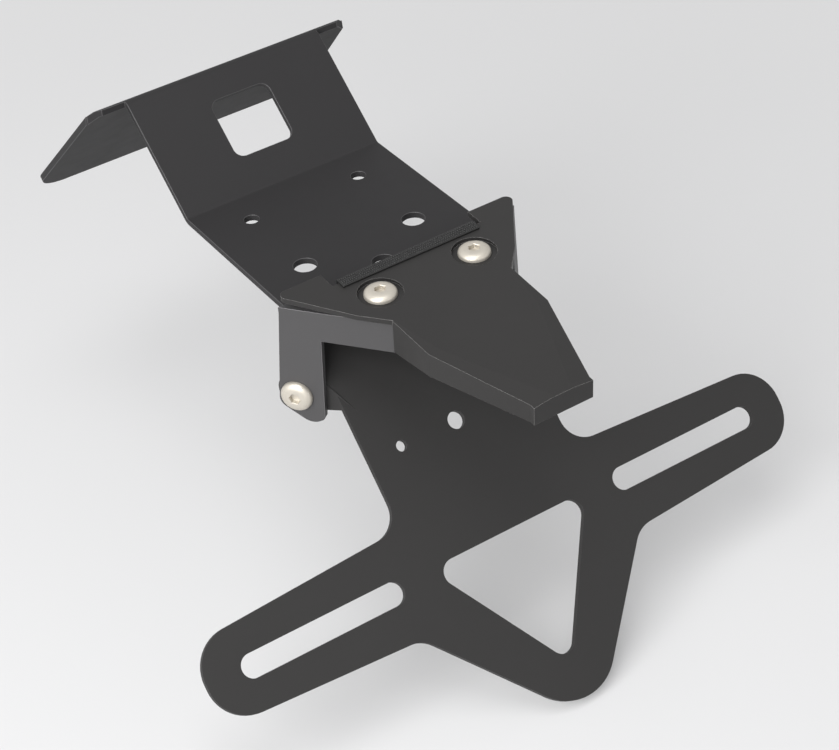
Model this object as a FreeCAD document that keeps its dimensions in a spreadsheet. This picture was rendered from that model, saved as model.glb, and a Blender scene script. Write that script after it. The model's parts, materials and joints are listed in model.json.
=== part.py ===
"""Rear number-plate bracket of a motorbike: folded sheets, a slotted plate hanger, a tail cover.

The origin is the middle of the two large bolt holes, on the top face of the flat plate.
+X is to the right, +Y is forwards, +Z is up; lengths are in millimetres, angles in degrees.
"""
import FreeCAD
import Part
import Sketcher
import math
import os

Vector = FreeCAD.Vector
Rotation = FreeCAD.Rotation
Placement = FreeCAD.Placement
# Half the width across flats of a hexagon, over its corner radius
HEX_FLAT = 0.8660254

SIZES = [
    # Folded main bracket
    ("sheet", 2.0),
    ("plate_half", 33.5),
    ("plate_fold_y", 42.9),
    ("slope_angle", 40.0),
    ("slope_run", 41.8),
    ("flange_angle", 45.0),
    ("flange_run", 66.0),
    ("flange_half_top", 44.8),
    ("flange_half_low", 51.0),
    ("flange_corner", 10.0),
    ("shoulder_cut", 3.6),
    ("fold_inside", 1.5),
    ("rear_taper_y", -26.0),
    ("rear_y", -48.0),
    ("rear_half", 16.5),
    ("big_hole", 7.0),
    ("big_pitch", 37.0),
    ("small_hole", 4.6),
    ("small_pitch", 37.2),
    ("small_row_y", 30.5),
    ("lead_hole", 7.0),
    ("lead_hole_y", -12.8),
    ("window_half", 10.0),
    ("window_start", 11.5),
    ("window_end", 31.0),
    ("window_round", 3.0),
    # Hinge bracket
    ("hinge_top_z", 7.0),
    ("hinge_front_x", 39.5),
    ("hinge_front_y", -21.8),
    ("hinge_rear_x", 18.9),
    ("hinge_rear_y", -48.6),
    ("wall_low_z", -2.6),
    ("hinge_notch_half", 25.0),
    ("hinge_notch_y", -29.6),
    ("cut_clear", 5.0),
    # Bolted tabs, along the wall from its front corner (rearwards is negative) and by height
    ("tab_front_low", 3.4),
    ("tab_front_low_z", -26.5),
    ("tab_tip", -6.0),
    ("tab_tip_z", -32.6),
    ("tab_rear_low", -10.0),
    ("tab_rear_low_z", -30.4),
    ("tab_rear_top", -11.7),
    ("tab_round", 3.5),
    ("bolt_along", -2.4),
    ("bolt_z", -22.9),
    ("bolt_clear", 5.3),
    # Plate hanger, in its own plane: across, and up the sheet
    ("hanger_lean", 46.33),
    ("hanger_y", -70.45),
    ("hanger_z", -63.51),
    ("tip_up", -58.5),
    ("tip_round", 15.4),
    ("armpit_x", 37.9),
    ("armpit_up", -14.9),
    ("arm_end", 99.0),
    ("arm_end_low", -11.65),
    ("arm_end_high", 11.95),
    ("arm_round", 11.5),
    ("neck_half", 29.6),
    ("neck_low_up", 15.4),
    ("hanger_top_up", 76.0),
    ("armpit_round", 9.0),
    ("neck_round", 8.0),
    ("slot_start", 36.5),
    ("slot_end", 88.4),
    ("slot_half", 3.5),
    ("cutout_top_up", 1.67),
    ("cutout_half", 27.3),
    ("cutout_tip_up", -40.3),
    ("cutout_round", 4.0),
    ("middle_hole", 5.3),
    ("side_hole", 3.3),
    ("plate_row_up", 36.2),
    ("plate_row_pitch", 37.2),
    ("ear_radius", 6.5),
    ("ear_top_z", -12.6),
    ("ear_high", -13.6),
    ("ear_high_z", -22.0),
    ("ear_low", -19.2),
    ("ear_low_z", -27.2),
    # Tail cover, in its own sloping plane
    ("cover_slope", 3.3),
    ("cover_datum_y", -21.5),
    ("cover_datum_z", 10.3),
    ("cover_skin", 1.6),
    ("cover_front_x", 40.0),
    ("cover_front_y", -20.5),
    ("cover_notch_half", 24.6),
    ("cover_notch_y", -26.6),
    ("cover_bend_x", 26.0),
    ("cover_bend_y", -41.5),
    ("cover_waist_x", 19.5),
    ("cover_waist_y", -48.9),
    ("cover_waist_deep", 11.0),
    ("cover_mid_x", 19.3),
    ("cover_mid_y", -66.0),
    ("cover_mid_deep", 8.0),
    ("cover_mid_flat", 16.2),
    ("cover_tip_x", 9.4),
    ("cover_tip_y", -99.5),
    ("cover_tip_deep", 6.5),
    ("cover_tip_flat", 3.3),
    ("cover_tip_drop", 0.7),
    ("dimple_width", 13.0),
    # Edge trim on the notch of the cover
    ("trim_width", 3.8),
    ("trim_lip", 1.15),
    ("trim_half", 22.6),
    # Cover screws and what they clamp
    ("screw_x", 15.5),
    ("screw_y", -36.8),
    ("screw_clear", 5.5),
    ("head_width", 9.5),
    ("head_high", 2.2),
    ("head_crown", 5.6),
    ("shank", 5.0),
    ("key_size", 3.0),
    ("key_deep", 1.6),
    ("cover_screw_long", 16.0),
    ("tab_screw_long", 12.0),
    ("spacer_width", 10.0),
    ("washer_width", 10.0),
    ("washer_thick", 1.0),
    ("nut_flats", 8.0),
    ("nut_high", 4.0),
    ("nut_bore", 5.0),
]


class Size:
    """A number together with the sheet formula that drives it."""

    def __init__(self, value, formula):
        self.value = float(value)
        self.formula = formula

    def __add__(self, other):
        other = as_size(other)
        return Size(self.value + other.value, "(%s + %s)" % (self.formula, other.formula))

    def __sub__(self, other):
        other = as_size(other)
        return Size(self.value - other.value, "(%s - %s)" % (self.formula, other.formula))

    def __mul__(self, other):
        other = as_size(other)
        return Size(self.value * other.value, "(%s * %s)" % (self.formula, other.formula))

    def __truediv__(self, other):
        other = as_size(other)
        return Size(self.value / other.value, "(%s / %s)" % (self.formula, other.formula))

    def __neg__(self):
        return Size(-self.value, "(0 - %s)" % self.formula)

    __radd__ = __add__
    __rmul__ = __mul__

    def __rsub__(self, other):
        return as_size(other) - self

    def __rtruediv__(self, other):
        return as_size(other) / self


def as_size(item):
    """Give a plain number the same form as a sheet value."""
    if isinstance(item, Size):
        return item
    return Size(item, "%.6g" % item)


def cosine(angle):
    return Size(math.cos(math.radians(angle.value)), "cos(%s)" % angle.formula)


def sine(angle):
    return Size(math.sin(math.radians(angle.value)), "sin(%s)" % angle.formula)


def tangent(angle):
    return Size(math.tan(math.radians(angle.value)), "tan(%s)" % angle.formula)


def root(item):
    return Size(math.sqrt(item.value), "sqrt(%s)" % item.formula)


doc = FreeCAD.newDocument("plate_bracket")
sheet = doc.addObject("Spreadsheet::Sheet", "sizes")
for row, (alias, number) in enumerate(SIZES, start=1):
    sheet.set("A%d" % row, alias)
    sheet.set("B%d" % row, "%.6g" % number)
    sheet.setAlias("B%d" % row, alias)
doc.recompute()


def size(alias):
    """Read one value of the sheet by its alias."""
    return Size(sheet.get(alias), "sizes.%s" % alias)


def bind(item, path, amount):
    """Drive one property of an object from the sheet."""
    item.setExpression(path, as_size(amount).formula)


def new_body(label):
    body = doc.addObject("PartDesign::Body", label)
    body.Label = label
    return body


def attach(sketch, body, role, base=(0, 0, 0), turn_axis=Vector(1, 0, 0), turn=0):
    """Lay a sketch on an origin plane, shifted and turned in that plane's own axes."""
    plane = [item for item in body.Origin.OriginFeatures if item.Role == role][0]
    sketch.AttachmentSupport = [(plane, "")]
    sketch.MapMode = "FlatFace"
    base = [as_size(item) for item in base]
    turn = as_size(turn)
    shift = Vector(*[item.value for item in base])
    sketch.AttachmentOffset = Placement(shift, Rotation(turn_axis, turn.value))
    for letter, item in zip("xyz", base):
        bind(sketch, "AttachmentOffset.Base.%s" % letter, item)
    bind(sketch, "AttachmentOffset.Rotation.Angle", turn)


def fix_point(sketch, curve, end, x, y):
    """Hold one sketch point at its two driven coordinates."""
    for kind, axis, amount in (("DistanceX", -2, as_size(x)), ("DistanceY", -1, as_size(y))):
        if abs(amount.value) < 1e-9:
            sketch.addConstraint(Sketcher.Constraint("PointOnObject", curve, end, axis))
            continue
        index = sketch.addConstraint(Sketcher.Constraint(kind, -1, 1, curve, end, amount.value))
        bind(sketch, "Constraints[%d]" % index, amount)


def add_polygon(sketch, points):
    """Draw a closed outline with every corner driven."""
    corners = [(as_size(x), as_size(y)) for x, y in points]
    first = len(sketch.Geometry)
    count = len(corners)
    for index, (x, y) in enumerate(corners):
        after = corners[(index + 1) % count]
        start = Vector(x.value, y.value, 0)
        end = Vector(after[0].value, after[1].value, 0)
        sketch.addGeometry(Part.LineSegment(start, end), False)
    for index in range(count):
        following = first + (index + 1) % count
        sketch.addConstraint(Sketcher.Constraint("Coincident", first + index, 2, following, 1))
    for index, (x, y) in enumerate(corners):
        fix_point(sketch, first + index, 1, x, y)


def add_circle(sketch, x, y, width):
    x, y, width = as_size(x), as_size(y), as_size(width)
    centre = Vector(x.value, y.value, 0)
    index = sketch.addGeometry(Part.Circle(centre, Vector(0, 0, 1), width.value / 2), False)
    rule = sketch.addConstraint(Sketcher.Constraint("Diameter", index, width.value))
    bind(sketch, "Constraints[%d]" % rule, width)
    fix_point(sketch, index, 3, x, y)


def new_sketch(body, name, role="XY_Plane", **where):
    sketch = body.newObject("Sketcher::SketchObject", name)
    attach(sketch, body, role, **where)
    return sketch


def pad(body, name, sketch, length, reverse=False, midplane=False):
    feature = body.newObject("PartDesign::Pad", name)
    feature.Profile = sketch
    feature.Length = as_size(length).value
    bind(feature, "Length", length)
    feature.Reversed = reverse
    feature.Midplane = midplane
    doc.recompute()
    return feature


def cut_through(body, name, sketch, reverse=False):
    """Cut a sketch right through the body and check that it removed something."""
    before = body.Shape.Volume
    feature = body.newObject("PartDesign::Pocket", name)
    feature.Profile = sketch
    feature.Type = "ThroughAll"
    feature.Reversed = reverse
    doc.recompute()
    if not body.Shape.Volume < before - 0.01:
        raise ValueError("%s removed nothing" % name)
    return feature


def cut_depth(body, name, sketch, depth, reverse=False):
    """Cut a sketch to a driven depth and check that it removed something."""
    before = body.Shape.Volume
    feature = body.newObject("PartDesign::Pocket", name)
    feature.Profile = sketch
    feature.Length = as_size(depth).value
    bind(feature, "Length", depth)
    feature.Reversed = reverse
    doc.recompute()
    if not body.Shape.Volume < before - 0.01:
        raise ValueError("%s removed nothing" % name)
    return feature


def nearest_edge(shape, point):
    """Name the edge whose middle lies closest to a point."""
    def gap(edge):
        middle = edge.valueAt((edge.FirstParameter + edge.LastParameter) / 2)
        return middle.distanceToPoint(point)
    gaps = [gap(edge) for edge in shape.Edges]
    return "Edge%d" % (gaps.index(min(gaps)) + 1)


def round_edges(body, name, radius, points):
    """Round the edges found nearest to the given points."""
    tip = body.Tip
    names = sorted({nearest_edge(tip.Shape, point) for point in points})
    feature = body.newObject("PartDesign::Fillet", name)
    feature.Base = (tip, names)
    feature.Radius = as_size(radius).value
    bind(feature, "Radius", radius)
    doc.recompute()
    return feature


def finish_body(body, x=0, y=0, z=0, axis=Vector(1, 0, 0), turn=0):
    """Place a finished body from the sheet."""
    x, y, z, turn = as_size(x), as_size(y), as_size(z), as_size(turn)
    body.Placement = Placement(Vector(x.value, y.value, z.value), Rotation(axis, turn.value))
    bind(body, "Placement.Base.x", x)
    bind(body, "Placement.Base.y", y)
    bind(body, "Placement.Base.z", z)
    bind(body, "Placement.Rotation.Angle", turn)


sheet_thick = size("sheet")


def make_main_bracket():
    """Folded sheet: flat plate, rising slope with a window, and a wide flange in front."""
    body = new_body("main_bracket")
    rise, fall = size("slope_angle"), size("flange_angle")
    fold_y = size("plate_fold_y")
    crest_y = fold_y + size("slope_run") * cosine(rise)
    crest_z = size("slope_run") * sine(rise)
    end_y = crest_y + size("flange_run") * cosine(fall)
    end_z = crest_z - size("flange_run") * sine(fall)
    spread = 1 + cosine(rise + fall)
    inner_y = crest_y + sheet_thick * (sine(rise) - sine(fall)) / spread
    inner_z = crest_z - sheet_thick * (cosine(rise) + cosine(fall)) / spread
    profile = new_sketch(body, "bracket_profile", "YZ_Plane")
    add_polygon(profile, [
        (size("rear_y"), 0),
        (fold_y, 0),
        (crest_y, crest_z),
        (end_y, end_z),
        (end_y - sheet_thick * sine(fall), end_z - sheet_thick * cosine(fall)),
        (inner_y, inner_z),
        (fold_y + sheet_thick * tangent(rise / 2), -sheet_thick),
        (size("rear_y"), -sheet_thick),
    ])
    pad(body, "bracket_sheet", profile, 2 * size("flange_half_low") + 4, midplane=True)
    low_fold_y = fold_y.value + sheet_thick.value * math.tan(math.radians(rise.value / 2))
    round_edges(body, "fold_inner", size("fold_inside"), [
        Vector(0, fold_y.value, 0),
        Vector(0, inner_y.value, inner_z.value),
    ])
    round_edges(body, "fold_outer", size("fold_inside") + sheet_thick, [
        Vector(0, low_fold_y, -sheet_thick.value),
        Vector(0, crest_y.value, crest_z.value),
    ])
    half, wide = size("plate_half"), size("flange_half_low") + 6
    sides = new_sketch(body, "bracket_sides", base=(0, 0, crest_z + 2 * size("cut_clear")))
    for side in (-1, 1):
        add_polygon(sides, [
            (side * half, crest_y),
            (side * (size("flange_half_top") - size("shoulder_cut")), crest_y),
            (side * size("flange_half_top"), crest_y + size("shoulder_cut")),
            (side * wide, crest_y + size("shoulder_cut")),
            (side * wide, size("rear_y") - size("cut_clear")),
            (side * size("rear_half"), size("rear_y") - size("cut_clear")),
            (side * size("rear_half"), size("rear_y")),
            (side * half, size("rear_taper_y")),
        ])
    cut_through(body, "bracket_trim", sides)
    wings = new_sketch(body, "flange_sides", base=(0, crest_y, crest_z), turn=-fall)
    for side in (-1, 1):
        add_polygon(wings, [
            (side * size("flange_half_top"), 0 - size("sheet") * 4),
            (side * size("flange_half_top"), size("sheet") / 2),
            (side * size("flange_half_low"), size("flange_run") + 2),
            (side * wide, size("flange_run") + 2),
            (side * wide, 0 - size("sheet") * 4),
        ])
    cut_depth(body, "flange_trim", wings, size("flange_corner") + sheet_thick)
    holes = new_sketch(body, "plate_holes")
    for side in (-1, 1):
        add_circle(holes, side * size("big_pitch") / 2, 0, size("big_hole"))
        add_circle(holes, side * size("small_pitch") / 2, size("small_row_y"), size("small_hole"))
        add_circle(holes, side * size("screw_x"), size("screw_y"), size("screw_clear"))
    add_circle(holes, 0, size("lead_hole_y"), size("lead_hole"))
    cut_through(body, "plate_drilling", holes)
    window = new_sketch(body, "slope_window", base=(0, fold_y, 0), turn=rise)
    across, low, high = size("window_half"), size("window_start"), size("window_end")
    add_polygon(window, [(-across, low), (across, low), (across, high), (-across, high)])
    cut_through(body, "window_cut", window)
    middle = -sheet_thick.value / 2

    def on_slope(x, run):
        angle = math.radians(rise.value)
        return Vector(x, fold_y.value + run * math.cos(angle) - middle * math.sin(angle),
                      run * math.sin(angle) + middle * math.cos(angle))

    def on_flange(x, run):
        angle = math.radians(fall.value)
        return Vector(x, crest_y.value + run * math.cos(angle) + middle * math.sin(angle),
                      crest_z.value - run * math.sin(angle) + middle * math.cos(angle))

    round_edges(body, "window_corners", size("window_round"), [
        on_slope(x, run) for x in (-across.value, across.value) for run in (low.value, high.value)])
    round_edges(body, "flange_corners", size("flange_corner"), [
        on_flange(side * (size("flange_half_low").value - 0.1), size("flange_run").value)
        for side in (-1, 1)])
    return body


def splay():
    """Run of the side walls in plan, and their length."""
    run_x = size("hinge_front_x") - size("hinge_rear_x")
    run_y = size("hinge_front_y") - size("hinge_rear_y")
    return run_x, run_y, root(run_x * run_x + run_y * run_y)


def splayed_base(side, inset):
    """Front corner of a side wall's outer face in plan, moved inwards by an inset."""
    run_x, run_y, length = splay()
    x = side * (size("hinge_front_x") - inset * run_y / length)
    return x, size("hinge_front_y") + inset * run_x / length


def splayed_point(side, along, high, inset):
    """A point given along a side wall, as a point of the bracket."""
    run_x, run_y, length = splay()
    x, y = splayed_base(side, inset)
    return Vector((x + side * along * run_x / length).value, (y + along * run_y / length).value,
                  as_size(high).value)


def splayed_sketch(body, name, side, inset):
    """A sketch in the plane of a side wall: forwards along the wall, then up."""
    run_x, run_y, length = splay()
    x, y = splayed_base(side, inset)
    heading = Size(math.degrees(math.atan2(run_y.value, run_x.value)),
                   "atan(%s / %s)" % (run_y.formula, run_x.formula))
    turn = heading if side > 0 else Size(180 - heading.value, "(180 deg - %s)" % heading.formula)
    return new_sketch(body, name, "XZ_Plane", base=(x, 0, -y), turn_axis=Vector(0, 1, 0),
                      turn=turn)


def make_hinge_bracket():
    """Folded sheet under the cover: top, two short side walls and the two bolted tabs."""
    body = new_body("hinge_bracket")
    top = size("hinge_top_z")
    fx, fy = size("hinge_front_x"), size("hinge_front_y")
    rx, ry = size("hinge_rear_x"), size("hinge_rear_y")
    notch, notch_y = size("hinge_notch_half"), size("hinge_notch_y")
    deck = new_sketch(body, "hinge_deck", base=(0, 0, top - sheet_thick))
    add_polygon(deck, [
        (-fx, fy), (-notch, fy), (-notch, notch_y), (notch, notch_y), (notch, fy), (fx, fy),
        (rx, ry), (-rx, ry),
    ])
    pad(body, "hinge_top", deck, sheet_thick)
    run_x, run_y = fx - rx, fy - ry
    along = sheet_thick * root(run_x * run_x + run_y * run_y) / run_y
    low = size("wall_low_z")
    for side, word in ((-1, "left"), (1, "right")):
        wall = new_sketch(body, "wall_line_" + word, base=(0, 0, low))
        add_polygon(wall, [
            (side * fx, fy), (side * rx, ry), (side * (rx - along), ry), (side * (fx - along), fy),
        ])
        pad(body, "wall_" + word, wall, top - low)
        tab = splayed_sketch(body, "tab_outline_" + word, side, as_size(0.0))
        add_polygon(tab, [
            (0, top - sheet_thick), (size("tab_front_low"), size("tab_front_low_z")),
            (size("tab_tip"), size("tab_tip_z")),
            (size("tab_rear_low"), size("tab_rear_low_z")), (size("tab_rear_top"), low),
            (size("tab_rear_top"), top - sheet_thick),
        ])
        pad(body, "tab_" + word, tab, sheet_thick, reverse=side > 0)
    for side, word in ((-1, "left"), (1, "right")):
        bolt = splayed_sketch(body, "bolt_line_" + word, side, as_size(0.0))
        add_circle(bolt, size("bolt_along"), size("bolt_z"), size("bolt_clear"))
        cut_through(body, "bolt_drilling_" + word, bolt, reverse=side < 0)
    holes = new_sketch(body, "deck_holes")
    for side in (-1, 1):
        add_circle(holes, side * size("screw_x"), size("screw_y"), size("screw_clear"))
    cut_through(body, "deck_drilling", holes, reverse=True)
    half_way = sheet_thick / 2
    for name, radius, along_word, high_word in (
            ("tab_front_corners", size("tab_round"), "tab_front_low", "tab_front_low_z"),
            ("tab_tips", size("tab_round") + 1, "tab_tip", "tab_tip_z"),
            ("tab_rear_corners", size("tab_round") / 2, "tab_rear_low", "tab_rear_low_z")):
        round_edges(body, name, radius, [
            splayed_point(side, size(along_word), size(high_word), half_way) for side in (-1, 1)])
    return body


def hanger_point(across, up, behind):
    """A point of the hanger's own plane as a point of the bracket."""
    lean = math.radians(size("hanger_lean").value)
    y = size("hanger_y").value + up * math.cos(lean) + behind * math.sin(lean)
    z = size("hanger_z").value + up * math.sin(lean) - behind * math.cos(lean)
    return Vector(across, y, z)


def make_plate_hanger():
    """Flat sheet with two slotted arms, a triangle cut-out and two ears bolted inside the tabs."""
    body = new_body("plate_hanger")
    lean = size("hanger_lean")
    plane = {"base": (0, size("hanger_y"), size("hanger_z")), "turn": lean}
    outline = new_sketch(body, "hanger_outline", **plane)
    # The sheet widens where it meets the ears, along the middle of their thickness
    run_x, run_y, _ = splay()
    ear_x, ear_y = splayed_base(1, sheet_thick * 1.5)
    low_y = ear_y - (ear_x - size("neck_half")) * run_y / run_x
    flare_low = (low_y - size("hanger_y")) / cosine(lean)
    flare_high = (size("ear_top_z") - size("hanger_z")) / sine(lean)
    high_y = size("hanger_y") + flare_high * cosine(lean)
    flare_half = ear_x - (ear_y - high_y) * run_x / run_y
    half = [
        (size("armpit_x"), size("armpit_up")),
        (size("arm_end"), size("arm_end_low")),
        (size("arm_end"), size("arm_end_high")),
        (size("neck_half"), size("neck_low_up")),
        (size("neck_half"), flare_low),
        (flare_half, flare_high),
        (flare_half, size("hanger_top_up")),
    ]
    add_polygon(outline, [(0, size("tip_up"))] + half + [(-x, up) for x, up in reversed(half)])
    pad(body, "hanger_sheet", outline, sheet_thick, reverse=True)
    middle = sheet_thick.value / 2

    def corners(spots):
        return [hanger_point(x, up, middle) for x, up in spots]

    sides = (-1, 1)
    round_edges(body, "tip_rounding", size("tip_round"), corners([(0, size("tip_up").value)]))
    round_edges(body, "arm_rounding", size("arm_round"), corners(
        [(side * size("arm_end").value, size(end).value)
         for side in sides for end in ("arm_end_low", "arm_end_high")]))
    round_edges(body, "armpit_rounding", size("armpit_round"), corners(
        [(side * size("armpit_x").value, size("armpit_up").value) for side in sides]))
    round_edges(body, "neck_rounding", size("neck_round"), corners(
        [(side * size("neck_half").value, size("neck_low_up").value) for side in sides]))
    openings = new_sketch(body, "hanger_openings", **plane)
    low, high, slot = size("slot_start"), size("slot_end"), size("slot_half")
    for side in sides:
        add_polygon(openings, [
            (side * low, -slot), (side * high, -slot), (side * high, slot), (side * low, slot)])
        add_circle(openings, side * size("plate_row_pitch") / 2, size("plate_row_up"),
                   size("side_hole"))
    add_polygon(openings, [
        (-size("cutout_half"), size("cutout_top_up")), (size("cutout_half"), size("cutout_top_up")),
        (0, size("cutout_tip_up"))])
    add_circle(openings, 0, size("plate_row_up"), size("middle_hole"))
    cut_through(body, "hanger_cut", openings)
    round_edges(body, "slot_ends", slot - 0.01, corners(
        [(side * x.value, up) for side in sides for x in (low, high)
         for up in (-slot.value, slot.value)]))
    round_edges(body, "cutout_corners", size("cutout_round"), corners(
        [(side * size("cutout_half").value, size("cutout_top_up").value) for side in sides]
        + [(0, size("cutout_tip_up").value)]))
    for side, word in ((-1, "left"), (1, "right")):
        arm = splayed_sketch(body, "ear_arm_line_" + word, side, sheet_thick)
        reach, mid_z, radius = size("bolt_along"), size("bolt_z"), size("ear_radius")
        add_polygon(arm, [
            (reach, size("ear_top_z")), (size("ear_high"), size("ear_high_z")),
            (size("ear_low"), size("ear_low_z")), (reach, mid_z - radius)])
        pad(body, "ear_arm_" + word, arm, sheet_thick, reverse=side > 0)
        disc = splayed_sketch(body, "ear_disc_" + word, side, sheet_thick)
        add_circle(disc, reach, mid_z, 2 * radius)
        pad(body, "ear_" + word, disc, sheet_thick, reverse=side > 0)
    for side, word in ((-1, "left"), (1, "right")):
        bolt = splayed_sketch(body, "ear_bolt_" + word, side, sheet_thick)
        add_circle(bolt, size("bolt_along"), size("bolt_z"), size("bolt_clear"))
        cut_through(body, "ear_drilling_" + word, bolt, reverse=side < 0)
    return body


def make_tail_cover():
    """Folded cover: a flat front part on the hinge bracket and a hollow tail that narrows."""
    body = new_body("tail_cover")
    skin = size("cover_skin")
    datum = size("cover_datum_y")
    # Distances along the cover are counted from its datum line
    front = size("cover_front_y") - datum
    notch_y = size("cover_notch_y") - datum
    bend_y = size("cover_bend_y") - datum
    waist_y = size("cover_waist_y") - datum
    mid_y = size("cover_mid_y") - datum
    tip_y = size("cover_tip_y") - datum
    half = [
        (size("cover_notch_half"), notch_y),
        (size("cover_notch_half"), front),
        (size("cover_front_x"), front),
        (size("cover_bend_x"), bend_y),
        (size("cover_waist_x"), waist_y),
    ]
    deck = new_sketch(body, "cover_deck", base=(0, 0, -skin))
    add_polygon(deck, half + [(-x, y) for x, y in reversed(half)])
    pad(body, "cover_plate", deck, skin)

    def section(name, along, wide, flat, drop, deep):
        """Channel section across the tail: crown, two bevels and two side walls."""
        sketch = new_sketch(body, name, "XZ_Plane", base=(0, 0, -along))
        right = [
            (wide, -deep), (wide, -drop), (flat, 0),
        ]
        inside = [
            (wide - skin, -deep), (wide - skin, -drop - skin), (flat - skin, -skin),
        ]
        outer = right + [(-x, z) for x, z in reversed(right)]
        inner = inside + [(-x, z) for x, z in reversed(inside)]
        add_polygon(sketch, outer + list(reversed(inner)))
        return sketch

    small = size("cover_skin") * 0.12
    first = section("section_waist", waist_y, size("cover_waist_x"),
                    size("cover_waist_x") - small, small, size("cover_waist_deep"))
    second = section("section_middle", mid_y, size("cover_mid_x"),
                     size("cover_mid_flat"), small * 2, size("cover_mid_deep"))
    third = section("section_tip", tip_y + skin, size("cover_tip_x"),
                    size("cover_tip_flat"), size("cover_tip_drop"), size("cover_tip_deep"))
    loft = body.newObject("PartDesign::AdditiveLoft", "cover_tail")
    loft.Profile = first
    loft.Sections = [second, third]
    loft.Ruled = True
    doc.recompute()
    end = new_sketch(body, "tip_wall_line", "XZ_Plane", base=(0, 0, -tip_y))
    wide, flat = size("cover_tip_x"), size("cover_tip_flat")
    drop, deep = size("cover_tip_drop"), size("cover_tip_deep")
    add_polygon(end, [(wide, -deep), (wide, -drop), (flat, 0), (-flat, 0), (-wide, -drop),
                      (-wide, -deep)])
    pad(body, "tip_wall", end, skin, reverse=True)
    # Level seats for the two screws, sunk into the sloping plate
    slope = size("cover_slope")
    floor = size("hinge_top_z")
    level_y = size("screw_y") - datum
    rise = size("cover_datum_z") - floor
    seat_y = level_y * cosine(slope) - rise * sine(slope)
    seat_z = -level_y * sine(slope) - rise * cosine(slope)
    seats = new_sketch(body, "seat_discs", base=(0, seat_y, seat_z), turn=-slope)
    for side in (-1, 1):
        add_circle(seats, side * size("screw_x"), 0, size("dimple_width") + 2 * skin)
    pad(body, "seats", seats, skin)
    above = 4.0
    bowls_y = seat_y + (skin + above) * sine(slope)
    bowls_z = seat_z + (skin + above) * cosine(slope)
    bowls = new_sketch(body, "seat_bowls", base=(0, bowls_y, bowls_z), turn=-slope)
    for side in (-1, 1):
        add_circle(bowls, side * size("screw_x"), 0, size("dimple_width"))
    cut_depth(body, "seat_recess", bowls, above)
    holes = new_sketch(body, "seat_holes", base=(0, bowls_y, bowls_z), turn=-slope)
    for side in (-1, 1):
        add_circle(holes, side * size("screw_x"), 0, size("screw_clear"))
    cut_through(body, "seat_drilling", holes)
    round_edges(body, "front_corners", 2.0, [
        Vector(side * size("cover_front_x").value, front.value, -skin.value / 2)
        for side in (-1, 1)])
    finish_body(body, 0, datum, size("cover_datum_z"), Vector(1, 0, 0), slope)
    return body


def make_edge_trim():
    """Soft trim pushed over the notched front edge of the cover."""
    body = new_body("edge_trim")
    skin, lip = size("cover_skin"), size("trim_lip")
    edge = size("cover_notch_y") - size("cover_datum_y")
    front = edge + lip
    back = front - size("trim_width")
    profile = new_sketch(body, "trim_profile", "YZ_Plane")
    add_polygon(profile, [
        (front, lip * 0.6), (front, -skin - lip * 0.3), (back, -skin - lip * 0.3), (back, -skin),
        (edge, -skin), (edge, 0), (back, 0), (back, lip * 0.6),
    ])
    pad(body, "trim_bead", profile, 2 * size("trim_half"), midplane=True)
    finish_body(body, 0, size("cover_datum_y"), size("cover_datum_z"), Vector(1, 0, 0),
                size("cover_slope"))
    return body


def make_button_screw(label, long, place):
    """Button head screw along its own Z, head up, seat at zero, with a hexagon socket."""
    body = new_body(label)
    head, shank = size("head_width") / 2, size("shank") / 2
    high, crown = size("head_high"), size("head_crown") / 2
    profile = new_sketch(body, label + "_profile", "XZ_Plane")
    add_polygon(profile, [
        (0, high), (crown, high), (crown + (head - crown) * 0.62, high * 0.74),
        (head, high * 0.2), (head, 0), (shank, 0), (shank, 0.4 - long), (shank - 0.4, -long),
        (0, -long),
    ])
    turned = body.newObject("PartDesign::Revolution", label + "_turned")
    turned.Profile = profile
    turned.ReferenceAxis = (profile, ["V_Axis"])
    turned.Angle = 360
    doc.recompute()
    key = new_sketch(body, label + "_key", base=(0, 0, high))
    point = size("key_size") / 2 / HEX_FLAT
    add_polygon(key, [
        (point, 0), (point / 2, point * HEX_FLAT), (-point / 2, point * HEX_FLAT), (-point, 0),
        (-point / 2, -point * HEX_FLAT), (point / 2, -point * HEX_FLAT)])
    cut_depth(body, label + "_socket", key, size("key_deep"))
    finish_body(body, *place)
    return body


def make_ring(label, wide, bore, thick, place):
    body = new_body(label)
    ring = new_sketch(body, label + "_ring")
    add_circle(ring, 0, 0, wide)
    add_circle(ring, 0, 0, bore)
    pad(body, label + "_body", ring, thick)
    finish_body(body, *place)
    return body


def make_nut(label, place):
    body = new_body(label)
    hexagon = new_sketch(body, label + "_hexagon")
    point = size("nut_flats") / 2 / HEX_FLAT
    add_polygon(hexagon, [
        (point, 0), (point / 2, point * HEX_FLAT), (-point / 2, point * HEX_FLAT), (-point, 0),
        (-point / 2, -point * HEX_FLAT), (point / 2, -point * HEX_FLAT)])
    add_circle(hexagon, 0, 0, size("nut_bore"))
    pad(body, label + "_body", hexagon, size("nut_high"))
    finish_body(body, *place)
    return body


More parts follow.
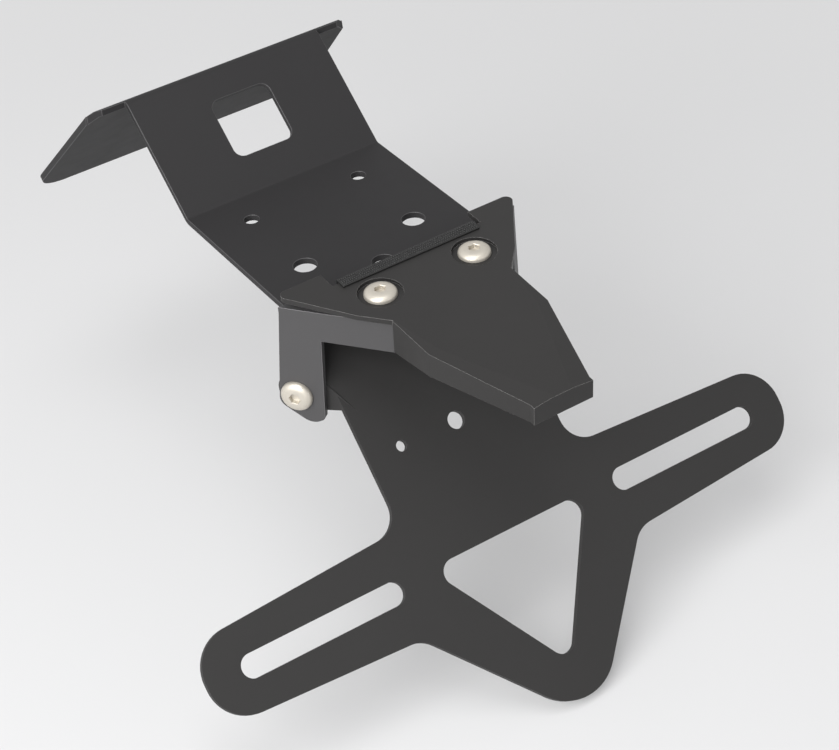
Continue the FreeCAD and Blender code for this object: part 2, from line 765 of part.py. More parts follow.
parts = [make_main_bracket(), make_hinge_bracket(), make_plate_hanger(), make_tail_cover(),
         make_edge_trim()]
up_axis = Vector(0, 0, 1)
bore = size("shank") + 0.3
for side, word in ((-1, "left"), (1, "right")):
    x, y = side * size("screw_x"), size("screw_y")
    seat = size("hinge_top_z") + size("cover_skin")
    below = -sheet_thick
    parts.append(make_button_screw("cover_screw_" + word, size("cover_screw_long"),
                                   (x, y, seat, up_axis, 0)))
    parts.append(make_ring("cover_spacer_" + word, size("spacer_width"), bore,
                           size("hinge_top_z") - sheet_thick, (x, y, 0, up_axis, 0)))
    parts.append(make_ring("cover_washer_" + word, size("washer_width"), bore,
                           size("washer_thick"),
                           (x, y, below - size("washer_thick"), up_axis, 0)))
    parts.append(make_nut("cover_nut_" + word,
                          (x, y, below - size("washer_thick") - size("nut_high"), up_axis, 0)))
    run_x, run_y, length = splay()
    tilt = Vector((run_x / length).value, side * (run_y / length).value, 0)

    def bolt_place(inset):
        """Place on the tab bolt's line, an inset inside the tab's outer face."""
        bx, by = splayed_base(side, as_size(inset))
        reach = size("bolt_along")
        return (bx + side * reach * run_x / length, by + reach * run_y / length, size("bolt_z"),
                tilt, 90)

    parts.append(make_button_screw("tab_screw_" + word, size("tab_screw_long"), bolt_place(0.0)))
    inside = sheet_thick * 2 + size("washer_thick")
    parts.append(make_ring("tab_washer_" + word, size("washer_width"), bore,
                           size("washer_thick"), bolt_place(inside)))
    parts.append(make_nut("tab_nut_" + word, bolt_place(inside + size("nut_high"))))

doc.recompute()
for item in doc.Objects:
    if "Invalid" in item.State or "Error" in item.State:
        raise ValueError("%s failed" % item.Name)
for body in parts:
    if body.Shape.isNull() or not body.Shape.isValid():
        raise ValueError("%s has no sound shape" % body.Label)

os.makedirs("parts", exist_ok=True)
for body in parts:
    body.Shape.exportStep(os.path.join("parts", body.Label + ".step"))
    box = body.Shape.BoundBox
    print("%-20s solids %d volume %9.1f  x %.1f %.1f  y %.1f %.1f  z %.1f %.1f" % (
        body.Label, len(body.Shape.Solids), body.Shape.Volume, box.XMin, box.XMax,
        box.YMin, box.YMax, box.ZMin, box.ZMax))
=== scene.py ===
"""Dresses the number plate bracket: coated sheets, turned screws, a grained rubber trim, studio."""

import json
import logging
import math
from dataclasses import dataclass
from enum import Enum
from typing import Any, Callable, Sequence

import bmesh
import bpy
from mathutils import Matrix, Vector

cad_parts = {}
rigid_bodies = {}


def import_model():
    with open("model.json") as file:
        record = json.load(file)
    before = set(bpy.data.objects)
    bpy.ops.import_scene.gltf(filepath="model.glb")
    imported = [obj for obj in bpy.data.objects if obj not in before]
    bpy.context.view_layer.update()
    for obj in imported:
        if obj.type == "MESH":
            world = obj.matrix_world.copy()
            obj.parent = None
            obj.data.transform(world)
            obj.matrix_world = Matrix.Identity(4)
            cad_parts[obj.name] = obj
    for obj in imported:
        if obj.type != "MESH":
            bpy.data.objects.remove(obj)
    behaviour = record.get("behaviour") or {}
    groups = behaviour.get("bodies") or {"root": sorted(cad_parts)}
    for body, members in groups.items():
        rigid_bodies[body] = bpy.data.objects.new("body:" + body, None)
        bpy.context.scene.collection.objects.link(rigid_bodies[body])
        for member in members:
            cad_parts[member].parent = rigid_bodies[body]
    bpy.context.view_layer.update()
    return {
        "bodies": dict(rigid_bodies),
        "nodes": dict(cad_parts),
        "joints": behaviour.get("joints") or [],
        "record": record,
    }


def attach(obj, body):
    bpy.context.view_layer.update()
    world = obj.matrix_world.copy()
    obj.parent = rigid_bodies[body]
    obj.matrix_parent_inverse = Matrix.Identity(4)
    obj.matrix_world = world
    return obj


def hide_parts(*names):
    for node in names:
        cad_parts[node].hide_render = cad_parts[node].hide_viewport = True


LOG = logging.getLogger("plate_bracket")
MM = 0.001

# The colour sockets of a Mix node go by number, because its other sockets share their names.
MIX_FIRST = 6
MIX_SECOND = 7
MIX_RESULT = 2

Triple = tuple[float, float, float]


class Side(Enum):
    """The two sides of the bracket."""

    LEFT = -1
    RIGHT = 1

    @property
    def word(self) -> str:
        """The side's name as the pieces carry it."""
        return self.name.lower()

    def turned(self, right: Triple) -> Triple:
        """Give the right side's place or direction for this side."""
        return (self.value * right[0], right[1], right[2])


class Wire:
    """A shader socket that can be used in plain arithmetic."""

    def __init__(self, tree: "ShaderTree", socket: bpy.types.NodeSocket) -> None:
        """Keep the socket and the tree that it belongs to."""
        self.tree = tree
        self.socket = socket

    def _math(self, operation: str, first: Any, second: Any) -> "Wire":
        """Add one Math node.

        Args:
            operation: The Math node's operation.
            first: First value or wire.
            second: Second value or wire.

        Returns:
            The wire of the result.
        """
        return self.tree.node("ShaderNodeMath", {"operation": operation}, {0: first, 1: second})

    def __add__(self, other: Any) -> "Wire":
        """Add a value."""
        return self._math("ADD", self, other)

    def __radd__(self, other: Any) -> "Wire":
        """Add to a value."""
        return self._math("ADD", other, self)

    def __mul__(self, other: Any) -> "Wire":
        """Multiply by a value."""
        return self._math("MULTIPLY", self, other)

    def __rmul__(self, other: Any) -> "Wire":
        """Multiply a value."""
        return self._math("MULTIPLY", other, self)

    def larger(self, other: Any) -> "Wire":
        """Take the larger of two values."""
        return self._math("MAXIMUM", self, other)


class ShaderTree:
    """A shader node tree that is filled node by node."""

    def __init__(self, tree: bpy.types.NodeTree) -> None:
        """Empty the tree.

        Args:
            tree: The node tree of a material or a world.
        """
        self.nodes = tree.nodes
        self.links = tree.links
        self.nodes.clear()

    def node(self, kind: str, settings: dict[str, Any] | None = None,
             inputs: dict[Any, Any] | None = None, output: Any = 0) -> Wire:
        """Add any node.

        Args:
            kind: The node's type.
            settings: Its settings, set before its sockets.
            inputs: Values or wires by socket name or number.
            output: Name or number of the output that is wanted.

        Returns:
            The wire of that output.
        """
        made = self.nodes.new(kind)
        for key, value in (settings or {}).items():
            setattr(made, key, value)
        for key, value in (inputs or {}).items():
            self.feed(made.inputs[key], value)
        return Wire(self, made.outputs[output])

    def feed(self, socket: bpy.types.NodeSocket, value: Any) -> None:
        """Link a wire to a socket, or set a plain value on it.

        Args:
            socket: The input socket.
            value: The wire or the plain value.
        """
        if isinstance(value, Wire):
            self.links.new(value.socket, socket)
        else:
            socket.default_value = value

    def shown(self) -> Wire:
        """Give 1 for rays that carry a picture to the camera, and 0 for rays that bring light."""
        rays = [self.node("ShaderNodeLightPath", output=kind)
                for kind in ("Is Camera Ray", "Is Glossy Ray", "Is Transmission Ray")]
        return rays[0].larger(rays[1]).larger(rays[2])


class Shader(ShaderTree):
    """Builds one node material with a Principled surface."""

    def __init__(self, name: str) -> None:
        """Make a material with its surface and output.

        Args:
            name: The material's name.
        """
        self.material = bpy.data.materials.new(name)
        self.material.use_nodes = True
        super().__init__(self.material.node_tree)
        self.surface = self.nodes.new("ShaderNodeBsdfPrincipled")
        self.output = self.nodes.new("ShaderNodeOutputMaterial")
        self.links.new(self.surface.outputs["BSDF"], self.output.inputs["Surface"])

    def give(self, word: str, value: Any) -> None:
        """Feed an input of the surface by its name."""
        self.feed(self.surface.inputs[word], value)

    def place(self) -> Wire:
        """The point on the object, in its own coordinates."""
        return self.node("ShaderNodeTexCoord", output="Object")

    def noise(self, scale: float, octaves: float, roughness: float = 0.5) -> Wire:
        """A noise value over the object.

        Args:
            scale: Cells to the metre.
            octaves: Number of finer layers.
            roughness: Weight of the finer layers.

        Returns:
            The noise from 0 to 1.
        """
        return self.node("ShaderNodeTexNoise", {}, {
            "Vector": self.place(), "Scale": scale, "Detail": octaves, "Roughness": roughness})

    def blend(self, factor: Any, first: Sequence[float], second: Sequence[float]) -> Wire:
        """Mix two colours by a factor."""
        return self.node("ShaderNodeMix", {"data_type": "RGBA"}, {
            "Factor": factor, MIX_FIRST: (*first, 1.0), MIX_SECOND: (*second, 1.0)}, MIX_RESULT)

    def bump(self, height: Wire, distance: float) -> Wire:
        """Turn a height into a normal."""
        return self.node("ShaderNodeBump", {}, {"Height": height, "Distance": distance})


@dataclass(frozen=True)
class PowderCoat:
    """Satin black powder coat with a fine orange-peel grain.

    Cloud, speck, patch and the grains are in cells to the metre.
    """

    name: str
    colour: Triple
    roughness: float
    gloss: float
    # Edge highlight: factor on the colour of the eased edges, which paints a highlight along them.
    edge_highlight: float = 1.0
    paler: float = 1.22
    haze: float = 0.001
    cloud: float = 28.0
    speck: float = 2600.0
    cloud_share: float = 0.6
    patch: float = 160.0
    patch_swing: float = 0.10
    grain: float = 1500.0
    fine_grain: float = 4500.0
    fine_share: float = 0.4
    depth: float = 0.012 * MM
    edge_smoother: float = 0.14
    edge_gloss: float = 0.6

    def with_edge_highlight(self) -> "PowderCoat":
        """The same coat on the eased edges: smoother, and lighter in colour as a painted highlight.
        """
        # Painted highlight: the edge colour is the coat's colour times the edge highlight factor.
        highlit = tuple(part * self.edge_highlight for part in self.colour)
        return PowderCoat(self.name + "_edge", highlit, self.roughness - self.edge_smoother,
                          self.edge_gloss)

    def material(self) -> bpy.types.Material:
        """Build the coat's material."""
        shader = Shader(self.name)
        light = tuple(part * self.paler + self.haze for part in self.colour)
        cloud = shader.noise(self.cloud, octaves=3.0)
        speck = shader.noise(self.speck, octaves=2.0)
        shader.give("Base Color", shader.blend(
            cloud * self.cloud_share + speck * (1.0 - self.cloud_share), self.colour, light))
        shader.give("Roughness", shader.noise(self.patch, octaves=4.0) * self.patch_swing
                    + (self.roughness - self.patch_swing / 2))
        peel = shader.noise(self.grain, octaves=2.0)
        fine = shader.noise(self.fine_grain, octaves=1.0)
        shader.give("Normal", shader.bump(peel + fine * self.fine_share, self.depth))
        shader.give("Specular IOR Level", self.gloss)
        return shader.material


@dataclass(frozen=True)
class TurnedSteel:
    """Stainless steel with faint turning marks and handling marks, bright or matt.

    Mark, patch and fine are in cells to the metre.
    """

    name: str
    colour: Triple
    roughness: float
    metallic: float = 1.0
    dull: float = 0.86
    mark: float = 420.0
    mark_roughness: float = 0.6
    patch: float = 900.0
    patch_swing: float = 0.16
    fine: float = 3200.0
    depth: float = 0.004 * MM

    def material(self) -> bpy.types.Material:
        """Build the steel's material."""
        shader = Shader(self.name)
        dull = tuple(part * self.dull for part in self.colour)
        marks = shader.noise(self.mark, octaves=4.0, roughness=self.mark_roughness)
        shader.give("Base Color", shader.blend(marks, dull, self.colour))
        shader.give("Metallic", self.metallic)
        shader.give("Roughness", shader.noise(self.patch, octaves=3.0) * self.patch_swing
                    + (self.roughness - self.patch_swing / 2))
        shader.give("Normal", shader.bump(shader.noise(self.fine, octaves=2.0), self.depth))
        return shader.material


@dataclass(frozen=True)
class SoftRubber:
    """Matt black rubber with a close grain.

    Grain and patch are in cells to the metre.
    """

    name: str
    colour: Triple
    paler: float = 1.9
    grain: float = 1800.0
    depth: float = 0.04 * MM
    patch: float = 500.0
    patch_swing: float = 0.15
    smoothest: float = 0.38

    def material(self) -> bpy.types.Material:
        """Build the rubber's material."""
        shader = Shader(self.name)
        light = tuple(part * self.paler for part in self.colour)
        grain = shader.noise(self.grain, octaves=3.0)
        shader.give("Base Color", shader.blend(grain, self.colour, light))
        shader.give("Roughness", shader.noise(self.patch, octaves=2.0) * self.patch_swing
                    + self.smoothest)
        shader.give("Normal", shader.bump(grain, self.depth))
        return shader.material


class Finishes:
    """Every finish of the bracket, by the record's slot."""

    def __init__(self) -> None:
        """Build the materials."""
        finishes = [
            # The last factor of each coat paints a highlight on its eased edges.
            PowderCoat("bracket_black", (0.0215, 0.0208, 0.0215), 0.58, gloss=0.17, edge_highlight=2.0),
            PowderCoat("hinge_black", (0.044, 0.0428, 0.044), 0.50, gloss=0.46, edge_highlight=5.0),
            PowderCoat("hanger_black", (0.0225, 0.0218, 0.0215), 0.58, gloss=0.22, edge_highlight=2.2),
            PowderCoat("cover_black", (0.0235, 0.0227, 0.0223), 0.52, gloss=0.20, edge_highlight=9.0),
            SoftRubber("trim_rubber", (0.0045, 0.0045, 0.0045)),
            TurnedSteel("screw_steel", (0.60, 0.56, 0.49), 0.44, metallic=0.65),
            TurnedSteel("washer_steel", (0.70, 0.69, 0.66), 0.30),
            TurnedSteel("nut_steel", (0.66, 0.65, 0.62), 0.32),
            TurnedSteel("spacer_steel", (0.62, 0.62, 0.61), 0.34),
        ]
        self.by_slot = {finish.name: finish.material() for finish in finishes}
        # Each coat's copy with a painted highlight, for its eased edges.
        self.edges = {finish.name: finish.with_edge_highlight().material() for finish in finishes
                      if isinstance(finish, PowderCoat)}

    def lay(self, mesh: bpy.types.Mesh, slot: str) -> None:
        """Give a mesh the slot's finish and, on a coat, its copy with a painted edge highlight, and
        keep its zones.

        Args:
            mesh: The mesh to finish.
            slot: The record's material slot.
        """
        zones = [face.material_index for face in mesh.polygons]
        mesh.materials.clear()
        mesh.materials.append(self.by_slot[slot])
        if slot in self.edges:
            mesh.materials.append(self.edges[slot])
        mesh.polygons.foreach_set("material_index", zones)

    def dress(self, piece: bpy.types.Object, slot: str) -> bpy.types.Object:
        """Give a piece its finish and its place on the one rigid body.

        Args:
            piece: The finished piece.
            slot: The record's material slot.

        Returns:
            The same piece.
        """
        self.lay(piece.data, slot)
        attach(piece, "root")
        LOG.info("%s: %s, %d faces", piece.name, slot, len(piece.data.polygons))
        return piece


def link(name: str, data: bpy.types.ID) -> bpy.types.Object:
    """Put a mesh, lamp or camera in the scene as an object at the origin.

    Args:
        name: The object's name.
        data: The mesh, lamp or camera.

    Returns:
        The new object.
    """
    made = bpy.data.objects.new(name, data)
    bpy.context.scene.collection.objects.link(made)
    return made


def sharpen(mesh: bpy.types.Mesh, limit: float) -> None:
    """Shade a mesh smooth except over edges that turn by more than the limit.

    Args:
        mesh: The mesh to shade.
        limit: The angle in degrees.
    """
    mesh.shade_smooth()
    mesh.set_sharp_from_angle(angle=math.radians(limit))


@dataclass
class FoldedSheet:
    """A cut and folded sheet whose edges are eased by the coating, with angles in degrees."""

    node: str
    slot: str
    ease: float = 0.28 * MM
    crease: float = 32.0
    merge: float = 0.001 * MM
    level: float = 0.4
    corner: float = 38.0
    ease_steps: int = 3
    evenness: int = 100

    def build(self, frame: dict[str, Any], finishes: Finishes) -> bpy.types.Object:
        """Make the eased sheet from the solid's own surface.

        Args:
            frame: The loaded frame.
            finishes: All finishes.

        Returns:
            The finished sheet.
        """
        mesh = frame["nodes"][self.node].data.copy()
        mesh.name = self.node + "_coated"
        self._merge(mesh)
        sharpen(mesh, self.crease)
        finishes.lay(mesh, self.slot)
        piece = link(self.node + "_coated", mesh)
        self._ease(piece)
        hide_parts(self.node)
        return finishes.dress(piece, self.slot)

    def _merge(self, mesh: bpy.types.Mesh) -> None:
        """Join the solid's loose triangles into whole faces.

        Args:
            mesh: A copy of the solid's mesh.
        """
        work = bmesh.new()
        work.from_mesh(mesh)
        bmesh.ops.remove_doubles(work, verts=work.verts, dist=self.merge)
        bmesh.ops.dissolve_limit(work, angle_limit=math.radians(self.level), verts=work.verts,
                                 edges=work.edges)
        work.to_mesh(mesh)
        work.free()

    def _ease(self, piece: bpy.types.Object) -> None:
        """Round the edges, lay the last finish on them, on a coat its painted edge highlight, and
        even out the shading.

        Args:
            piece: The sheet with its finishes laid.
        """
        bevel = piece.modifiers.new("eased_edges", "BEVEL")
        bevel.width = self.ease
        bevel.segments = self.ease_steps
        bevel.limit_method = "ANGLE"
        bevel.angle_limit = math.radians(self.corner)
        bevel.use_clamp_overlap = True
        # On a coat the last material is its painted edge highlight.
        bevel.material = len(piece.data.materials) - 1
        even = piece.modifiers.new("even_shading", "WEIGHTED_NORMAL")
        even.mode = "FACE_AREA"
        even.weight = self.evenness
        even.keep_sharp = True
        baked = bpy.data.meshes.new_from_object(
            piece.evaluated_get(bpy.context.evaluated_depsgraph_get()))
        piece.modifiers.clear()
        piece.data = baked


class Lathe:
    """Builds a closed turned solid, with an optional hexagon socket in its end."""

    STEPS = 60
    SIXTH = math.radians(60)

    def __init__(self) -> None:
        """Start an empty solid."""
        self.work = bmesh.new()
        self.rings: list[list[bmesh.types.BMVert]] = []

    def ring(self, radius: float, height: float) -> None:
        """Add a round ring."""
        self._add(height, lambda turn: radius)

    def hexagon(self, apothem: float, height: float) -> None:
        """Add a six-sided ring."""
        self._add(height, lambda turn: apothem / math.cos(turn % self.SIXTH - self.SIXTH / 2))

    def _add(self, height: float, reach: Callable[[float], float]) -> None:
        """Add a ring of points.

        Args:
            height: The ring's height.
            reach: Gives the radius at a turn in radians.
        """
        turns = [2 * math.pi * step / self.STEPS for step in range(self.STEPS)]
        self.rings.append([
            self.work.verts.new((reach(turn) * math.cos(turn), reach(turn) * math.sin(turn),
                                 height)) for turn in turns])

    def close(self, name: str) -> bpy.types.Mesh:
        """Join the rings, cap both ends and give the mesh.

        Args:
            name: The mesh's name.

        Returns:
            The closed mesh with its faces outwards.
        """
        for low, high in zip(self.rings, self.rings[1:]):
            for step in range(self.STEPS):
                after = (step + 1) % self.STEPS
                self.work.faces.new((low[step], low[after], high[after], high[step]))
        self.work.faces.new(self.rings[0])
        self.work.faces.new(self.rings[-1])
        bmesh.ops.recalc_face_normals(self.work, faces=self.work.faces)
        mesh = bpy.data.meshes.new(name)
        self.work.to_mesh(mesh)
        self.work.free()
        return mesh


@dataclass
class ButtonScrew:
    """A button head socket screw, seat at the place and head towards the axis.

    The place is in millimetres. The key's fields are those of its hexagon socket.
    """

    name: str
    place: Triple
    axis: Triple
    length: float
    head: float = 4.72 * MM
    crown: float = 2.1 * MM
    high: float = 2.18 * MM
    brim: float = 0.42 * MM
    rim: float = 0.12 * MM
    dome_steps: int = 10
    dome_fullness: float = 0.8
    shank: float = 2.48 * MM
    tip: float = 0.4 * MM
    tip_long: float = 0.45 * MM
    key: float = 1.5 * MM
    key_deep: float = 1.55 * MM
    key_wall: float = 0.86
    key_point: float = 0.45
    key_flare: float = 0.1 * MM
    key_flare_deep: float = 0.14 * MM
    crease: float = 28.0

    def frame_matrix(self) -> Matrix:
        """The screw's own frame in the bracket's frame."""
        turn = Vector((0, 0, 1)).rotation_difference(Vector(self.axis)).to_matrix().to_4x4()
        return Matrix.Translation(Vector(self.place) * MM) @ turn

    def build(self, finishes: Finishes) -> bpy.types.Object:
        """Turn the screw and put it in its place.

        Args:
            finishes: All finishes.

        Returns:
            The finished screw.
        """
        lathe = Lathe()
        lathe.hexagon(self.key * self.key_point, self.high - self.key_deep)
        lathe.hexagon(self.key, self.high - self.key_deep * self.key_wall)
        lathe.hexagon(self.key, self.high - self.key_flare_deep)
        lathe.hexagon(self.key + self.key_flare, self.high)
        lathe.ring(self.crown, self.high)
        for step in range(1, self.dome_steps + 1):
            bend = math.radians(90 * step / self.dome_steps)
            lathe.ring(self.crown + (self.head - self.crown) * math.sin(bend),
                       self.brim + (self.high - self.brim) * math.cos(bend) ** self.dome_fullness)
        lathe.ring(self.head, self.rim)
        lathe.ring(self.head - self.rim, 0.0)
        lathe.ring(self.shank, 0.0)
        lathe.ring(self.shank, self.tip_long - self.length)
        lathe.ring(self.shank - self.tip, -self.length)
        mesh = lathe.close(self.name + "_turned")
        mesh.transform(self.frame_matrix())
        sharpen(mesh, self.crease)
        piece = link(self.name + "_turned", mesh)
        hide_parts(self.name)
        return finishes.dress(piece, "screw_steel")


class GeometryTree:
    """A Geometry Nodes tree with named inputs, built in order."""

    def __init__(self, name: str, inputs: dict[str, tuple[str, Any]]) -> None:
        """Make the tree and its inputs.

        Args:
            name: The tree's name.
            inputs: Socket type and value by input name.
        """
        self.tree = bpy.data.node_groups.new(name, "GeometryNodeTree")
        self.tree.interface.new_socket("Geometry", in_out="OUTPUT",
                                       socket_type="NodeSocketGeometry")
        self.values = {}
        for word, (kind, value) in inputs.items():
            socket = self.tree.interface.new_socket(word, in_out="INPUT", socket_type=kind)
            self.values[socket.identifier] = value
        self.entry = self.tree.nodes.new("NodeGroupInput")
        self.exit = self.tree.nodes.new("NodeGroupOutput")

    def add(self, kind: str, settings: dict[str, Any] | None = None,
            inputs: dict[Any, Any] | None = None) -> bpy.types.Node:
        """Add any node.

        Args:
            kind: The node's type.
            settings: Its settings, set before its sockets.
            inputs: Values or sockets to link, by socket name or number.

        Returns:
            The node.
        """
        made = self.tree.nodes.new(kind)
        for key, value in (settings or {}).items():
            setattr(made, key, value)
        for key, value in (inputs or {}).items():
            if isinstance(value, bpy.types.NodeSocket):
                self.tree.links.new(value, made.inputs[key])
            else:
                made.inputs[key].default_value = value
        return made

    def given(self, word: str) -> bpy.types.NodeSocket:
        """The socket of a named input."""
        return self.entry.outputs[word]

    def finish(self, geometry: bpy.types.NodeSocket) -> None:
        """Realize the instances, set the material and end the tree.

        Args:
            geometry: The socket of the whole pattern.
        """
        real = self.add("GeometryNodeRealizeInstances", {}, {0: geometry})
        paint = self.add("GeometryNodeSetMaterial", {}, {
            "Geometry": real.outputs[0], "Material": self.given("Material")})
        self.tree.links.new(paint.outputs[0], self.exit.inputs[0])

    def bake(self, name: str) -> bpy.types.Mesh:
        """Run the tree once and give the plain mesh.

        Args:
            name: The mesh's name.

        Returns:
            The baked mesh.
        """
        holder = link(name + "_holder", bpy.data.meshes.new(name + "_holder"))
        modifier = holder.modifiers.new(name, "NODES")
        modifier.node_group = self.tree
        for identifier, value in self.values.items():
            modifier[identifier] = value
        graph = bpy.context.evaluated_depsgraph_get()
        mesh = bpy.data.meshes.new_from_object(holder.evaluated_get(graph))
        mesh.name = name
        holder.modifiers.clear()
        bpy.data.objects.remove(holder)
        return mesh


@dataclass
class ThreadTurns:
    """Raised thread crests in a row on a screw's free end."""

    turns: int
    outer: float = 2.49 * MM
    pitch: float = 0.8 * MM
    crest: float = 0.16 * MM
    around: int = 40
    crest_around: int = 6
    crease: float = 50.0

    def tree(self, steel: bpy.types.Material) -> GeometryTree:
        """Build the tree that repeats one crest along a line.

        Args:
            steel: The crests' material.

        Returns:
            The finished tree.
        """
        made = GeometryTree("thread_turns", {
            "Turns": ("NodeSocketInt", self.turns), "Pitch": ("NodeSocketFloat", self.pitch),
            "Radius": ("NodeSocketFloat", self.outer - self.crest),
            "Crest": ("NodeSocketFloat", self.crest), "Material": ("NodeSocketMaterial", steel)})
        offset = made.add("ShaderNodeCombineXYZ", {}, {"Z": made.given("Pitch")})
        line = made.add("GeometryNodeMeshLine", {}, {
            "Count": made.given("Turns"), "Offset": offset.outputs[0]})
        loop = made.add("GeometryNodeCurvePrimitiveCircle", {}, {
            "Resolution": self.around, "Radius": made.given("Radius")})
        profile = made.add("GeometryNodeCurvePrimitiveCircle", {}, {
            "Resolution": self.crest_around, "Radius": made.given("Crest")})
        ring = made.add("GeometryNodeCurveToMesh", {}, {
            0: loop.outputs[0], 1: profile.outputs[0]})
        spread = made.add("GeometryNodeInstanceOnPoints", {}, {
            "Points": line.outputs[0], "Instance": ring.outputs[0]})
        made.finish(spread.outputs[0])
        return made

    def build(self, screw: ButtonScrew, start: float, finishes: Finishes) -> bpy.types.Object:
        """Put the crests on one screw.

        Args:
            screw: The screw that carries them.
            start: Height of the first crest above the screw's seat, below 0 on the shank.
            finishes: All finishes.

        Returns:
            The finished crests.
        """
        name = screw.name + "_thread"
        mesh = self.tree(finishes.by_slot["screw_steel"]).bake(name)
        mesh.transform(screw.frame_matrix() @ Matrix.Translation((0, 0, start)))
        sharpen(mesh, self.crease)
        return finishes.dress(link(name, mesh), "screw_steel")


@dataclass
class TrimGrain:
    """Rows of small raised pips on the upper face of the rubber trim.

    The middle of the rows is in millimetres from the datum, on the cover's sloping face.
    """

    length: float = 43.8 * MM
    width: float = 2.5 * MM
    pip: float = 0.30 * MM
    pip_levels: int = 2
    columns: int = 68
    rows: int = 4
    stray: Triple = (0.12 * MM, 0.10 * MM, 0.04 * MM)
    seed: int = 7
    middle: Triple = (0.0, -5.87, 0.62)
    datum: Triple = (0.0, -21.5, 10.3)
    slope: float = 3.3

    def tree(self, rubber: bpy.types.Material) -> GeometryTree:
        """Build the tree that scatters pips on a grid.

        Args:
            rubber: The pips' material.

        Returns:
            The finished tree.
        """
        made = GeometryTree("trim_grain", {
            "Length": ("NodeSocketFloat", self.length), "Width": ("NodeSocketFloat", self.width),
            "Columns": ("NodeSocketInt", self.columns), "Rows": ("NodeSocketInt", self.rows),
            "Pip": ("NodeSocketFloat", self.pip), "Seed": ("NodeSocketInt", self.seed),
            "Material": ("NodeSocketMaterial", rubber)})
        grid = made.add("GeometryNodeMeshGrid", {}, {
            "Size X": made.given("Length"), "Size Y": made.given("Width"),
            "Vertices X": made.given("Columns"), "Vertices Y": made.given("Rows")})
        shift = made.add("FunctionNodeRandomValue", {"data_type": "FLOAT_VECTOR"}, {
            "Min": tuple(-part for part in self.stray), "Max": self.stray,
            "Seed": made.given("Seed")})
        moved = made.add("GeometryNodeSetPosition", {}, {
            "Geometry": grid.outputs[0], "Offset": shift.outputs[0]})
        ball = made.add("GeometryNodeMeshIcoSphere", {}, {
            "Radius": made.given("Pip"), "Subdivisions": self.pip_levels})
        spread = made.add("GeometryNodeInstanceOnPoints", {}, {
            "Points": moved.outputs[0], "Instance": ball.outputs[0]})
        made.finish(spread.outputs[0])
        return made

    def build(self, finishes: Finishes) -> bpy.types.Object:
        """Lay the pips on the trim.

        Args:
            finishes: All finishes.

        Returns:
            The finished pips.
        """
        mesh = self.tree(finishes.by_slot["trim_rubber"]).bake("edge_trim_grain")
        lean = Matrix.Rotation(math.radians(self.slope), 4, "X")
        mesh.transform(Matrix.Translation(Vector(self.datum) * MM) @ lean
                       @ Matrix.Translation(Vector(self.middle) * MM))
        mesh.shade_smooth()
        return finishes.dress(link("edge_trim_grain", mesh), "trim_rubber")


@dataclass(frozen=True)
class ScrewPair:
    """Two mirrored screws: seat, direction and length on the right side, in millimetres.

    Thread is the height of the first crest above the seat, and turns the number of crests.
    """

    stem: str
    place: Triple
    axis: Triple
    length: float
    thread: float
    turns: int

    def build(self, side: Side, finishes: Finishes) -> None:
        """Build the screw of one side with its crests.

        Args:
            side: The side to build.
            finishes: All finishes.
        """
        screw = ButtonScrew(f"{self.stem}_{side.word}", side.turned(self.place),
                            side.turned(self.axis), self.length * MM)
        screw.build(finishes)
        ThreadTurns(self.turns).build(screw, self.thread * MM, finishes)


@dataclass
class Fixings:
    """The screws, spacers, washers and nuts on both sides."""

    screws: tuple[ScrewPair, ...] = (
        ScrewPair("cover_screw", (15.5, -36.8, 8.6), (0.0, 0.0, 1.0),
                  length=16.0, thread=-15.7, turns=1),
        ScrewPair("tab_screw", (38.04, -23.70, -22.9), (0.7929, -0.6094, 0.0),
                  length=12.0, thread=-11.6, turns=3))
    plain: tuple[tuple[str, str], ...] = (
        ("cover_spacer", "spacer_steel"), ("cover_washer", "washer_steel"),
        ("cover_nut", "nut_steel"), ("tab_washer", "washer_steel"), ("tab_nut", "nut_steel"))
    ease: float = 0.18 * MM

    def build(self, frame: dict[str, Any], finishes: Finishes) -> None:
        """Build every fixing.

        Args:
            frame: The loaded frame.
            finishes: All finishes.
        """
        for side in Side:
            for pair in self.screws:
                pair.build(side, finishes)
            for stem, slot in self.plain:
                FoldedSheet(f"{stem}_{side.word}", slot, self.ease).build(frame, finishes)


@dataclass(frozen=True)
class Lamp:
    """A square soft lamp, with lengths in metres and its power in watts."""

    name: str
    place: Triple
    side: float
    power: float

    def hang(self, target: Triple) -> None:
        """Hang the lamp in its place.

        Args:
            target: The point that it looks at.
        """
        data = bpy.data.lights.new(self.name, "AREA")
        data.shape = "SQUARE"
        data.size = self.side
        data.energy = self.power
        lamp = link(self.name, data)
        lamp.location = self.place
        aim = Vector(target) - Vector(self.place)
        lamp.rotation_euler = aim.to_track_quat("-Z", "Y").to_euler()


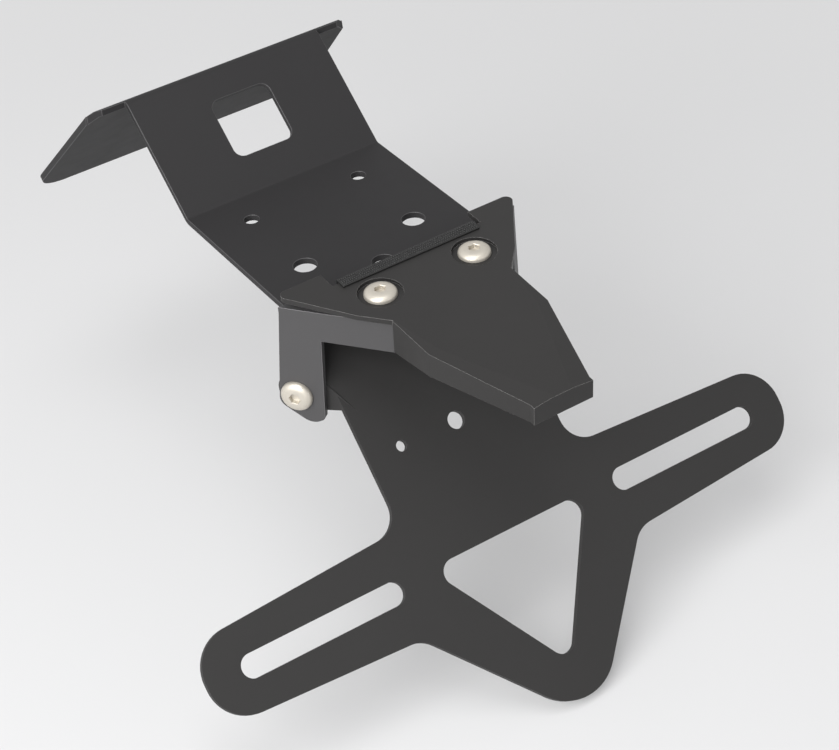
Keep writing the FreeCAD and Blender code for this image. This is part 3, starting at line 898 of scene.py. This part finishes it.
@dataclass
class Studio:
    """Pale floor, soft lamps and the camera of the picture.

    Lengths are in metres, but the camera's place, lens and sensor are in millimetres.
    """

    backdrop: Triple = (0.772, 0.772, 0.774)
    floor_z: float = -0.1035
    floor_half: float = 30.0
    paper_dark: Triple = (0.675, 0.675, 0.678)
    paper_light: Triple = (0.695, 0.695, 0.698)
    paper_grain: float = 3.0
    paper_roughness: float = 0.9
    floor_glow: float = 0.32
    fade_start: float = 0.16
    fade_end: float = 0.75
    sky_colour: Triple = (0.98, 0.98, 1.0)
    sky_strength: float = 0.38
    lamps: tuple[Lamp, ...] = (Lamp("key", (-0.95, -0.52, 0.60), side=1.0, power=22.5),
                               Lamp("top", (-0.2, -0.25, 1.1), side=0.7, power=5.0),
                               Lamp("fill", (0.55, -1.1, 0.30), side=0.6, power=0.8))
    lamps_aim: Triple = (0.0, -0.02, -0.03)
    camera_place: Triple = (-252.6, -460.9, 352.7)
    right: Triple = (0.8324, -0.5494, -0.0729)
    up: Triple = (0.3843, 0.4775, 0.7902)
    forward: Triple = (0.3993, 0.6857, -0.6086)
    lens: float = 93.95
    sensor: float = 36.0
    nearest: float = 0.01
    farthest: float = 50.0

    def build(self) -> None:
        """Set the whole stage."""
        self._floor()
        self._world()
        for lamp in self.lamps:
            lamp.hang(self.lamps_aim)
        self._camera()

    def _floor(self) -> None:
        """Lay a wide pale floor that fades into the backdrop colour away from the object."""
        mesh = bpy.data.meshes.new("floor")
        corners = ((-1, -1), (1, -1), (1, 1), (-1, 1))
        mesh.from_pydata([(x * self.floor_half, y * self.floor_half, self.floor_z)
                          for x, y in corners], [], [(0, 1, 2, 3)])
        floor = link("floor", mesh)
        shader = Shader("floor_paper")
        shader.give("Base Color", shader.blend(
            shader.noise(self.paper_grain, octaves=2.0), self.paper_dark, self.paper_light))
        shader.give("Roughness", self.paper_roughness)
        shader.give("Specular IOR Level", 0.0)
        away = shader.node("ShaderNodeVectorMath", {"operation": "LENGTH"},
                           {0: shader.place()}, "Value")
        share = shader.node("ShaderNodeMapRange", {"interpolation_type": "SMOOTHSTEP"}, {
            "Value": away, "From Min": self.fade_start, "From Max": self.fade_end,
            "To Min": self.floor_glow, "To Max": 1.0})
        paper = Wire(shader, shader.surface.outputs["BSDF"])
        glow = shader.node("ShaderNodeEmission", {}, {"Color": (*self.backdrop, 1.0)})
        shader.feed(shader.output.inputs["Surface"], shader.node("ShaderNodeMixShader", {}, {
            0: shader.shown() * share, 1: paper, 2: glow}))
        mesh.materials.append(shader.material)

    def _world(self) -> None:
        """Light the object evenly and show the backdrop colour behind it."""
        world = bpy.data.worlds.new("studio")
        bpy.context.scene.world = world
        world.use_nodes = True
        sky = ShaderTree(world.node_tree)
        output = sky.nodes.new("ShaderNodeOutputWorld")
        light = sky.node("ShaderNodeBackground", {}, {
            "Color": (*self.sky_colour, 1.0), "Strength": self.sky_strength})
        behind = sky.node("ShaderNodeBackground", {}, {"Color": (*self.backdrop, 1.0)})
        sky.feed(output.inputs["Surface"], sky.node("ShaderNodeMixShader", {}, {
            0: sky.shown(), 1: light, 2: behind}))

    def _camera(self) -> None:
        """Place the camera at the picture's viewpoint."""
        data = bpy.data.cameras.new("picture_camera")
        data.sensor_width = self.sensor
        data.lens = self.lens
        data.clip_start = self.nearest
        data.clip_end = self.farthest
        camera = link("picture_camera", data)
        columns = (Vector(self.right), Vector(self.up), -Vector(self.forward))
        turn = Matrix(columns).transposed().to_4x4()
        camera.matrix_world = Matrix.Translation(Vector(self.camera_place) * MM) @ turn
        bpy.context.scene.camera = camera


def main() -> None:
    """Build the dressed bracket in order."""
    logging.basicConfig(level=logging.INFO, format="%(name)s: %(message)s")
    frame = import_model()
    finishes = Finishes()
    for sheet in (
        FoldedSheet("main_bracket", "bracket_black"),
        FoldedSheet("hinge_bracket", "hinge_black", ease=0.42 * MM),
        FoldedSheet("plate_hanger", "hanger_black"),
        FoldedSheet("tail_cover", "cover_black", ease=0.50 * MM, crease=4.0),
        FoldedSheet("edge_trim", "trim_rubber", ease=0.35 * MM),
    ):
        sheet.build(frame, finishes)
    TrimGrain().build(finishes)
    Fixings().build(frame, finishes)
    Studio().build()
    bpy.context.scene.view_settings.view_transform = "Standard"


if __name__ == "__main__":
    main()
